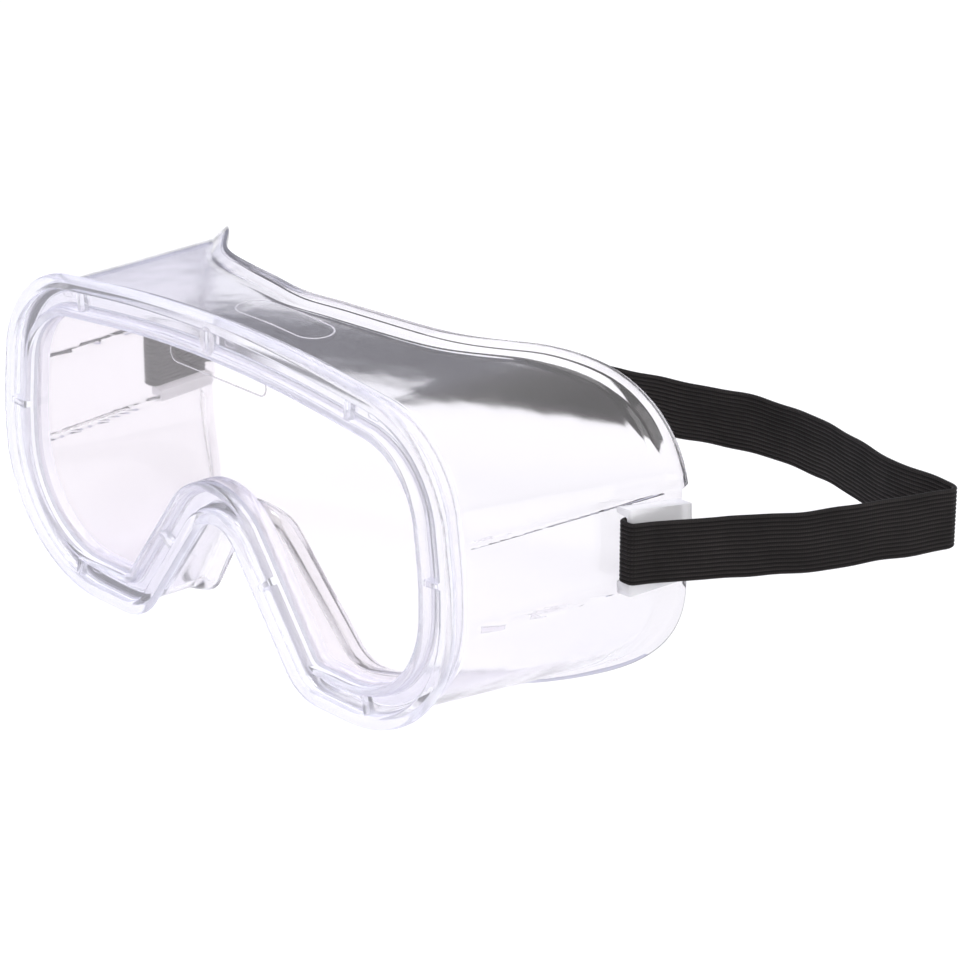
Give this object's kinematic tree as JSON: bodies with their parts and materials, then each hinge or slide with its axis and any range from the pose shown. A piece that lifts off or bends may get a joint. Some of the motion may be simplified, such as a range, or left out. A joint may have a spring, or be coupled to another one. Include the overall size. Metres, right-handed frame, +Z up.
{
  "type": "safety goggles",
  "caption": "Clear safety goggles: a flat lens in the grooved rim of a soft clear face frame, with an elastic head strap looped round lugs on the sides.",
  "frame": {"origin": "on the lens's flat front face, in the middle of the clear window above the nose, on the mask's plane of symmetry", "axes": "+Z up, -Y out of the front of the lens, +X to the wearer's left, strap towards +Y"},
  "size_m": [0.2165, 0.1305, 0.0862],
  "materials": {
    "lens": "clear polished polycarbonate, faint pink tinge",
    "frame": "clear soft moulded plastic, glossy, faint lavender at the edges",
    "strap": "black woven elastic, ribbed lengthwise"
  },
  "bodies": {
    "mask": {"lens": "lens", "rim": "frame", "brow_wall": "frame", "temple_wall_left": "frame", "temple_wall_right": "frame", "cheek_wall_left": "frame", "cheek_wall_right": "frame", "nose_bridge": "frame", "strap_end_left": "strap", "strap_end_right": "strap"},
    "strap": {"strap_side_left": "strap", "strap_side_right": "strap"},
    "strap_rear": {"strap_rear_left": "strap", "strap_rear_right": "strap"}
  },
  "joints": [
    {"name": "strap_swing", "type": "hinge", "parent": "mask", "child": "strap", "pos_m": [0, 0.0507, -0.0204], "axis": [1, 0, 0], "range_deg": [-25, 25], "stiffness_Nm_per_rad": 0.3},
    {"name": "strap_stretch", "type": "slide", "parent": "strap", "child": "strap_rear", "axis": [0, 1, 0], "range_m": [0, 0.06], "stiffness_N_per_m": 130}
  ]
}
